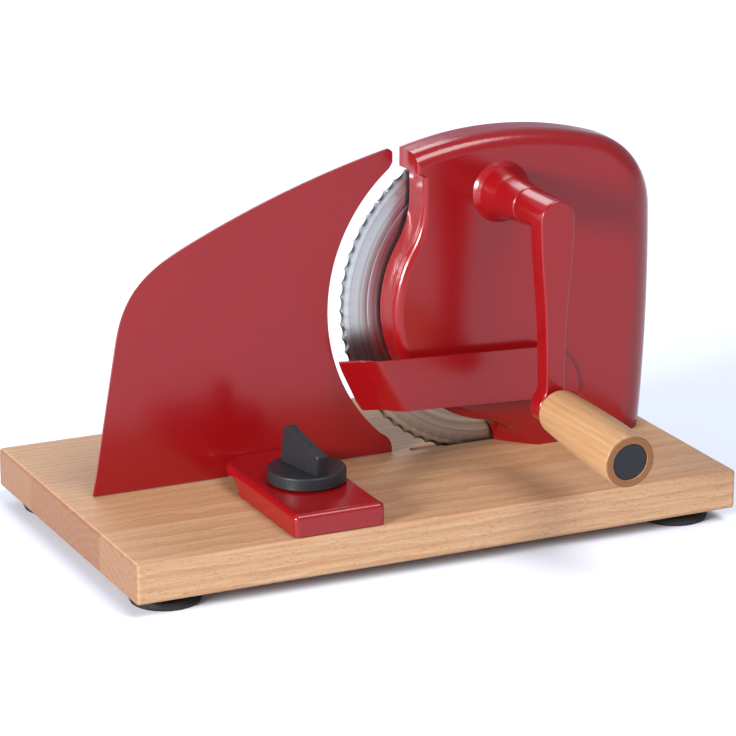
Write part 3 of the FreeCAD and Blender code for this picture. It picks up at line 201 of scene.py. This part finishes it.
def makeBladeSteel():
    s = bladeSteel
    material = newMaterial("groundStainless", s["light"], 1.0, s["roughness"])
    coords = addNode(material, "ShaderNodeTexCoord").outputs["Object"]
    centred = addNode(material, "ShaderNodeMapping", {"vector_type": "POINT"},
                      {"Location": [-c * mm for c in s["centre"]], "Scale": (1, 0, 1)}, {"Vector": coords})
    radius = addNode(material, "ShaderNodeVectorMath", {"operation": "LENGTH"},
                     links={"Vector": centred.outputs["Vector"]}).outputs["Value"]
    rings, grooves = (addNode(material, "ShaderNodeTexNoise", {"noise_dimensions": "1D"},
                              {"Scale": 1 / (s[kind] * mm), "Detail": s["detail"]},
                              {"W": radius}).outputs["Fac"] for kind in ("ring", "groove"))
    tone = mixTones(material, spreadOut(material, rings, *s["tone"]), s["light"], s["dark"])
    # painted shade: the scallop share stored on the mesh mixes the dark hollow colour into the steel
    paintedShadeShare = addNode(material, "ShaderNodeAttribute", {"attribute_name": "paintedScallopShade"})
    paintedScallopShade = addNode(material, "ShaderNodeMix", {"data_type": "RGBA"}, {7: toLinear(s["hollow"])},
                     {0: paintedShadeShare.outputs["Fac"], 6: tone})
    linkTo(material, paintedScallopShade.outputs[2], "Base Color")
    addBump(material, grooves, s["depth"], s["strength"])
    return material


# the small parts: size and depth of the surface grain in mm, where the second tone sets in, how far the
# roughness wanders and how strong the mirror part is
plainFinishes = {
    # turned bar: bright, with faint tool marks
    "steel": {"finish": "turnedSteel", "light": "b9babb", "dark": "9b9c9e", "metallic": 1.0, "roughness": 0.3,
              "wander": 0.08, "grain": (0.25, 4.0, 4.0), "depth": 0.004, "tone": (0.35, 0.65), "sheen": 0.5},
    # clear zinc plating: cool and cloudy
    "zinc": {"finish": "zincPlate", "light": "c9ccd0", "dark": "aeb2b0", "metallic": 1.0, "roughness": 0.36,
             "wander": 0.1, "grain": (1.6, 1.6, 1.6), "depth": 0.003, "tone": (0.4, 0.6), "sheen": 0.5},
    # sintered bronze: dark open pores
    "bronze": {"finish": "sinteredBronze", "light": "b08b50", "dark": "5f4526", "metallic": 1.0,
               "roughness": 0.45, "wander": 0.15, "grain": (0.35, 0.35, 0.35), "depth": 0.02,
               "tone": (0.6, 0.7), "sheen": 0.5},
    # natural nylon: milky and slightly waxy
    "gear_plastic": {"finish": "naturalNylon", "light": "ddd9ca", "dark": "d0cbb8", "metallic": 0.0,
                     "roughness": 0.42, "wander": 0.06, "grain": (2.5, 2.5, 2.5), "depth": 0.01,
                     "tone": (0.35, 0.65), "sheen": 0.5},
    # spark-eroded black plastic: a fine even grain that turns the sheen grey
    "black_plastic": {"finish": "grainedBlackPlastic", "light": "232528", "dark": "141517", "metallic": 0.0,
                      "roughness": 0.4, "wander": 0.08, "grain": (0.45, 0.45, 0.45), "depth": 0.03,
                      "tone": (0.35, 0.65), "sheen": 0.3},
    # soft rubber: dull, with a little dust
    "rubber": {"finish": "dullRubber", "light": "151516", "dark": "0a0a0b", "metallic": 0.0, "roughness": 0.65,
               "wander": 0.1, "grain": (0.8, 0.8, 0.8), "depth": 0.03, "tone": (0.4, 0.6), "sheen": 0.5},
}
plainGrain = {"detail": 2.0, "strength": 0.6}


def makePlain(s):
    material = newMaterial(s["finish"], s["light"], s["metallic"], s["roughness"],
                           Specular_IOR_Level=s["sheen"])
    coords = addNode(material, "ShaderNodeTexCoord")
    scaled = addNode(material, "ShaderNodeMapping", inputs={"Scale": [1 / (g * mm) for g in s["grain"]]},
                     links={"Vector": coords.outputs["Object"]})
    grain = addNode(material, "ShaderNodeTexNoise", inputs={"Scale": 1.0, "Detail": plainGrain["detail"]},
                    links={"Vector": scaled.outputs["Vector"]}).outputs["Fac"]
    share = spreadOut(material, grain, *s["tone"])
    dullness = addNode(material, "ShaderNodeMapRange",
                       inputs={"To Min": s["roughness"], "To Max": s["roughness"] + s["wander"]},
                       links={"Value": share})
    linkTo(material, mixTones(material, share, s["light"], s["dark"]), "Base Color")
    linkTo(material, dullness.outputs["Result"], "Roughness")
    addBump(material, grain, s["depth"], plainGrain["strength"])
    return material


finishes = {slot: makePlain(s) for slot, s in plainFinishes.items()}
finishes["red_paint"] = makePowderCoat()
finishes["beech"] = makeWood("oiledBeech", boardWood)
finishes["grip_wood"] = makeWood("turnedBeech", gripWood)
finishes["blade_steel"] = makeBladeSteel()
for node in nodes.values():
    node.data.materials[0] = finishes[node.data.materials[0].name.split(".")[0]]
print("materials made")


# coated sheet and moulded edges: each hard edge gets the small round that the coat or the mould leaves
# body, finish, width of the round and distance under which points merge
edgeRounds = {
    "fence_plate": ("fence", "red_paint", 0.4, 0.002),
    "fence_bracket": ("fence", "red_paint", 0.4, 0.002),
    "deflector_band": ("base", "red_paint", 0.4, 0.002),
    "crank_arm": ("crank", "red_paint", 0.4, 0.002),
    "clamp_knob": ("knob", "black_plastic", 0.6, 0.05),
}
# angles in degrees under which faces are one plane and over which an edge is hard, then lengths in mm
edgeWork = {"flatAngle": 0.05, "hardAngle": 40.0, "segments": 2, "weld": 0.002, "sliver": 0.001,
            "flatWeight": 100}


def roundEdges(nodeName, body, slot, width, merge):
    s = edgeWork
    bm = bmesh.new()
    bm.from_mesh(nodes[nodeName].data)
    bmesh.ops.remove_doubles(bm, verts=bm.verts, dist=merge * mm)
    bmesh.ops.dissolve_limit(bm, angle_limit=math.radians(s["flatAngle"]), verts=bm.verts, edges=bm.edges)
    hard = [edge for edge in bm.edges
            if len(edge.link_faces) == 2 and edge.calc_face_angle() > math.radians(s["hardAngle"])]
    bmesh.ops.bevel(bm, geom=hard, offset=width * mm, offset_type="OFFSET", segments=s["segments"],
                    profile=0.5, affect="EDGES", clamp_overlap=True, material=-1)
    bmesh.ops.remove_doubles(bm, verts=bm.verts, dist=s["weld"] * mm)
    bmesh.ops.dissolve_degenerate(bm, edges=bm.edges, dist=s["sliver"] * mm)
    words = nodeName.split("_")
    piece = finishPiece(words[0] + words[1].capitalize() + "Rounded", bm, body, slot)
    evenNormals = piece.modifiers.new("evenNormals", "WEIGHTED_NORMAL")
    evenNormals.keep_sharp = True
    evenNormals.weight = s["flatWeight"]
    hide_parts(nodeName)
    print(nodeName, "edges rounded:", len(hard))


for nodeName, settings in edgeRounds.items():
    roundEdges(nodeName, *settings)


# screws: which way the head faces, where they sit across that, and the drive cut into the head
screwSets = {
    "foot_screws": {"body": "base", "slot": "zinc", "facing": (0, 0, -1),
                    "shank": 4.0, "head": 8.0, "depth": 2.0, "sunk": False, "drive": "cross",
                    "places": ((-150, -47.57), (150, -47.57), (-150, 111.43), (150, 111.43))},
    "cover_screws": {"body": "base", "slot": "zinc", "facing": (0, 1, 0),
                     "shank": 3.0, "head": 6.0, "depth": 1.4, "sunk": False, "drive": "cross",
                     "places": ((44, 193.8), (148.1, 171.8), (164.6, 52), (97.5, 52))},
    "housing_screws": {"body": "base", "slot": "zinc", "facing": (0, 0, -1),
                       "shank": 5.0, "head": 10.0, "depth": 2.5, "sunk": True, "drive": "hexagon",
                       "places": ((98, 23.53), (125.65, 23.53), (153.3, 23.53))},
    "block_screws": {"body": "base", "slot": "zinc", "facing": (0, 0, 1),
                     "shank": 4.0, "head": 8.0, "depth": 2.0, "sunk": True, "drive": "cross",
                     "places": ((-58.1, -39.07), (-58.1, -3.07))},
    "blade_screws": {"body": "blade", "slot": "zinc", "facing": (0, 1, 0),
                     "shank": 4.0, "head": 6.9, "depth": 1.45, "sunk": True, "drive": "cross",
                     "places": ((78, 138), (58.08, 103.5), (97.92, 103.5))},
    "deflector_screws": {"body": "base", "slot": "red_paint", "facing": (0, -1, 0),
                         "shank": 3.5, "head": 7.0, "depth": 1.6, "sunk": False, "drive": "hexagon",
                         "places": ((105.97, 76.98), (105.97, 65.18))},
}
# chamfer, deepest and tipRadius in mm, the rest as shares of the head's or shank's half width or depth
screwShape = {"segments": 48, "chamfer": 0.3, "inset": 0.4, "driveDepth": 0.7, "deepest": 1.5, "taper": 0.85,
              "hexagon": 0.5, "crossReach": 0.62, "crossWidth": 0.14, "leastSlope": 0.01,
              "tipLength": 0.7, "tipRadius": 0.2, "smooth": 40.0}


def driveReach(kind, turn, half):
    s = screwShape
    if kind == "hexagon":
        return half * s["hexagon"] / math.cos(turn % (math.pi / 3) - math.pi / 6)
    c, n = (max(abs(ratio), s["leastSlope"]) for ratio in (math.cos(turn), math.sin(turn)))
    reach, width = s["crossReach"], s["crossWidth"]
    return half * max(min(reach / c, width / n), min(reach / n, width / c))


def makeScrews(nodeName, s):
    g = screwShape
    low, high = (Vector(corner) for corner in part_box(nodeName))
    facing = Vector(s["facing"])
    along = max(range(3), key=lambda i: abs(facing[i]))
    top, end = (high, low) if facing[along] > 0 else (low, high)
    length = abs(top[along] - end[along]) / mm
    across = [i for i in range(3) if i != along]
    upright = facing.to_track_quat("Z", "Y").to_matrix().to_4x4()
    half, shank, depth = s["head"] / 2, s["shank"] / 2, s["depth"]
    faceRadius = half if s["sunk"] else half - g["chamfer"]
    head = [(shank, depth)] if s["sunk"] else [(half, g["chamfer"]), (half, depth), (shank, depth)]
    rims = head + [(shank, length - shank * g["tipLength"]), (g["tipRadius"], length)]
    bm = bmesh.new()
    for place in s["places"]:
        before = set(bm.verts)
        bmesh.ops.create_circle(bm, cap_ends=True, segments=g["segments"], radius=faceRadius * mm)
        face = next(f for f in bm.faces if not (set(f.verts) & before))
        rim = list(face.edges)
        bmesh.ops.inset_region(bm, faces=[face], thickness=faceRadius * g["inset"] * mm)
        for vertex in face.verts:
            turn = math.atan2(vertex.co.y, vertex.co.x)
            vertex.co = vertex.co.normalized() * driveReach(s["drive"], turn, half) * mm
        floorFace = bmesh.ops.extrude_discrete_faces(bm, faces=[face])["faces"][0]
        driveDepth = min(depth * g["driveDepth"], g["deepest"])
        bmesh.ops.translate(bm, verts=floorFace.verts, vec=(0, 0, -driveDepth * mm))
        bmesh.ops.scale(bm, verts=floorFace.verts, vec=(g["taper"], g["taper"], 1))
        radius, level = faceRadius, 0.0
        for nextRadius, nextLevel in rims:
            grown = bmesh.ops.extrude_edge_only(bm, edges=rim)["geom"]
            verts = [item for item in grown if isinstance(item, bmesh.types.BMVert)]
            rim = [item for item in grown if isinstance(item, bmesh.types.BMEdge)]
            bmesh.ops.scale(bm, verts=verts, vec=(nextRadius / radius, nextRadius / radius, 1))
            bmesh.ops.translate(bm, verts=verts, vec=(0, 0, (level - nextLevel) * mm))
            radius, level = nextRadius, nextLevel
        bmesh.ops.contextual_create(bm, geom=rim)
        target = Vector((0, 0, 0))
        target[along] = top[along]
        for i, value in zip(across, place):
            target[i] = value * mm
        verts = [v for v in bm.verts if v not in before]
        bmesh.ops.transform(bm, matrix=Matrix.Translation(target) @ upright, verts=verts)
    piece = finishPiece(nodeName.split("_")[0] + "ScrewsDriven", bm, s["body"], s["slot"], g["smooth"])
    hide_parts(nodeName)
    print(nodeName, "made, length", round(length, 2))


for nodeName, settings in screwSets.items():
    makeScrews(nodeName, settings)


# round blade: two ground bevels, a fine turned groove and a hollow ground scallop between every two teeth
# the profile gives radius and depth from the front, and its last three points are the bevel's start, crease
# and rim
bladeDisc = {"teeth": 72, "stepsPerTooth": 8, "bore": 30.0, "backRing": 88.0, "edge": 0.1, "smooth": 12.0,
             "profile": ((74.4, 0.0), (74.8, 0.16), (75.6, 0.16), (76.0, 0.0), (79.8, 0.0), (80.2, 0.03),
                         (88.0, 0.45), (90.6, 1.1), (91.0, 1.2)),
             "innerSlope": 0.054, "outerSlope": 0.25, "near": 0.1, "weld": 0.001,
             "scallopDepth": 1.3, "scallopWidth": 2.9, "scallopPower": 0.75}
# countersunk holes: diameters, the depth of the sink and how far the cutter stands out of both faces
bladeHoles = {"head": 7.2, "clearance": 0.2, "hole": 4.2, "sink": 1.4, "overBack": 0.1, "overFront": 1.0,
              "steps": 48, "largestCap": 60}


def looseObject(name, bm):
    mesh = bpy.data.meshes.new(name)
    bm.to_mesh(mesh)
    bm.free()
    loose = bpy.data.objects.new(name, mesh)
    bpy.context.scene.collection.objects.link(loose)
    return loose


def screwHoles(frontY, backY):
    s = bladeHoles
    rings = ((s["head"] + s["clearance"], backY + s["overBack"] * mm), (s["hole"], backY - s["sink"] * mm),
             (s["hole"], frontY - s["overFront"] * mm))
    bm = bmesh.new()
    for x, z in screwSets["blade_screws"]["places"]:
        spine = [bm.verts.new((x * mm + d / 2 * mm, y, z * mm)) for d, y in rings]
        lines = [bm.edges.new(pair) for pair in zip(spine, spine[1:])]
        bmesh.ops.spin(bm, geom=spine + lines, cent=(x * mm, 0, z * mm), axis=(0, 1, 0), angle=2 * math.pi,
                       steps=s["steps"], use_merge=True, use_duplicate=False)
    bmesh.ops.remove_doubles(bm, verts=bm.verts, dist=bladeDisc["weld"] * mm)
    openEdges = [edge for edge in bm.edges if edge.is_boundary]
    bmesh.ops.holes_fill(bm, edges=openEdges, sides=s["largestCap"])
    bmesh.ops.recalc_face_normals(bm, faces=bm.faces)
    return looseObject("holeCutter", bm)


def cutBy(target, cutter):
    cut = target.modifiers.new("holes", "BOOLEAN")
    cut.object, cut.operation, cut.solver = cutter, "DIFFERENCE", "EXACT"
    bpy.context.view_layer.update()
    holed = bpy.data.meshes.new_from_object(target.evaluated_get(bpy.context.evaluated_depsgraph_get()))
    bm = bmesh.new()
    bm.from_mesh(holed)
    for loose in (target, cutter):
        bpy.data.objects.remove(loose)
    return bm


def makeBlade():
    s = bladeDisc
    low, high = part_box("blade")
    centre = Vector(((low[0] + high[0]) / 2, low[1], (low[2] + high[2]) / 2))
    back = (high[1] - low[1]) / mm
    (startRadius, startDepth), (crease, _), (rim, _) = s["profile"][-3:]
    bore = s["bore"] / 2
    outline = [(bore, 0.0), *s["profile"], (rim, back), (s["backRing"], back), (bore, back)]
    bm = bmesh.new()
    points = [bm.verts.new(centre + Vector((r * mm, y * mm, 0))) for r, y in outline]
    for first, second in zip(points, points[1:] + points[:1]):
        bm.edges.new((first, second))
    bmesh.ops.spin(bm, geom=bm.verts[:] + bm.edges[:], cent=centre, axis=(0, 1, 0), angle=2 * math.pi,
                   steps=s["teeth"] * s["stepsPerTooth"], use_merge=True, use_duplicate=False)
    bmesh.ops.remove_doubles(bm, verts=bm.verts, dist=s["weld"] * mm)
    bmesh.ops.recalc_face_normals(bm, faces=bm.faces)
    bm = cutBy(looseObject("plainDisc", bm), screwHoles(centre.y, high[1]))
    # the scallop share at each point is also stored as painted shade, darkening the steel in the hollows
    paintedScallopShade = bm.verts.layers.float.new("paintedScallopShade")
    for vertex in bm.verts:
        across = Vector((vertex.co.x - centre.x, 0, vertex.co.z - centre.z))
        r, depth = across.length / mm, (vertex.co.y - centre.y) / mm
        if r < crease - s["near"]:
            continue
        turn = math.atan2(across.z, across.x) / (2 * math.pi) * s["teeth"]
        hollow = math.sin(math.pi * (turn - math.floor(turn))) ** s["scallopPower"]
        if r > rim - s["near"]:
            r = rim - s["scallopDepth"] * hollow
            if depth < back - 2 * s["near"]:
                depth += (back - s["edge"] - depth) * hollow
                vertex[paintedScallopShade] = hollow
        else:
            r = crease - s["scallopWidth"] * hollow
            slope = s["outerSlope"] if r > startRadius else s["innerSlope"]
            depth = startDepth + (r - startRadius) * slope
        vertex.co = centre + across.normalized() * r * mm + Vector((0, depth * mm, 0))
    disc = finishPiece("bladeDisc", bm, "blade", "blade_steel", s["smooth"])
    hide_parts("blade")
    print("blade made, faces:", len(disc.data.polygons))


makeBlade()

paleFloor = {"halfSize": 6.0, "colour": "dde1ea", "roughness": 0.8}
bm = bmesh.new()
bmesh.ops.create_grid(bm, x_segments=1, y_segments=1, size=paleFloor["halfSize"])
floor = looseObject("floor", bm)
floor.data.materials.append(newMaterial("paleFloor", paleFloor["colour"], 0.0, paleFloor["roughness"]))

# studio: an even surround, a broad soft key from the front right, a lamp on the left that marks the round
# forms and one behind
studio = {"surround": "e2eaff", "surroundStrength": 0.55, "aim": (0, 0, 0.1),
          "keyTurn": 20.0, "keyHeight": 57.0, "keyDistance": 3.0, "keySpread": 30.0, "keyStrength": 2.1,
          "sparkPlace": (-3.2, -1.3, 1.0), "sparkSize": 0.8, "sparkPower": 235.0,
          "backPlace": (0.3, 2.6, 2.4), "backSize": 1.6, "backPower": 34.0}
world = bpy.data.worlds.new("studio")
bpy.context.scene.world = world
world.use_nodes = True
surround = world.node_tree.nodes["Background"].inputs
surround["Color"].default_value = toLinear(studio["surround"])
surround["Strength"].default_value = studio["surroundStrength"]


# unit vector from the part towards a place at this turn from the front and this height, in radians
def placeAt(turn, height):
    return Vector((math.sin(turn) * math.cos(height), -math.cos(turn) * math.cos(height), math.sin(height)))


def addLamp(name, kind, place, strength):
    lamp = bpy.data.objects.new(name, bpy.data.lights.new(name, kind))
    bpy.context.scene.collection.objects.link(lamp)
    lamp.data.energy = strength
    lamp.location = place
    lamp.rotation_euler = (Vector(studio["aim"]) - Vector(place)).to_track_quat("-Z", "Y").to_euler()
    return lamp


keyPlace = studio["keyDistance"] * placeAt(*(math.radians(studio[k]) for k in ("keyTurn", "keyHeight")))
key = addLamp("keyLight", "SUN", keyPlace, studio["keyStrength"])
key.data.angle = math.radians(studio["keySpread"])
for lampName in ("spark", "back"):
    lamp = addLamp(lampName + "Light", "AREA", studio[lampName + "Place"], studio[lampName + "Power"])
    lamp.data.size = studio[lampName + "Size"]
print("studio lit")

photoCamera = {"place": (-0.7657, -1.6005, 0.6415), "azimuth": -25.2047, "elevation": 17.2371,
               "lens": 169.56, "sensor": 36, "clip": (0.05, 50)}
camera = bpy.data.objects.new("camera", bpy.data.cameras.new("camera"))
bpy.context.scene.collection.objects.link(camera)
towards = -placeAt(*(math.radians(photoCamera[k]) for k in ("azimuth", "elevation")))
camera.location = photoCamera["place"]
camera.rotation_euler = towards.to_track_quat("-Z", "Y").to_euler()
camera.data.sensor_width = photoCamera["sensor"]
camera.data.lens = photoCamera["lens"]
camera.data.clip_start, camera.data.clip_end = photoCamera["clip"]
bpy.context.scene.camera = camera
bpy.context.scene.view_settings.view_transform = "Standard"
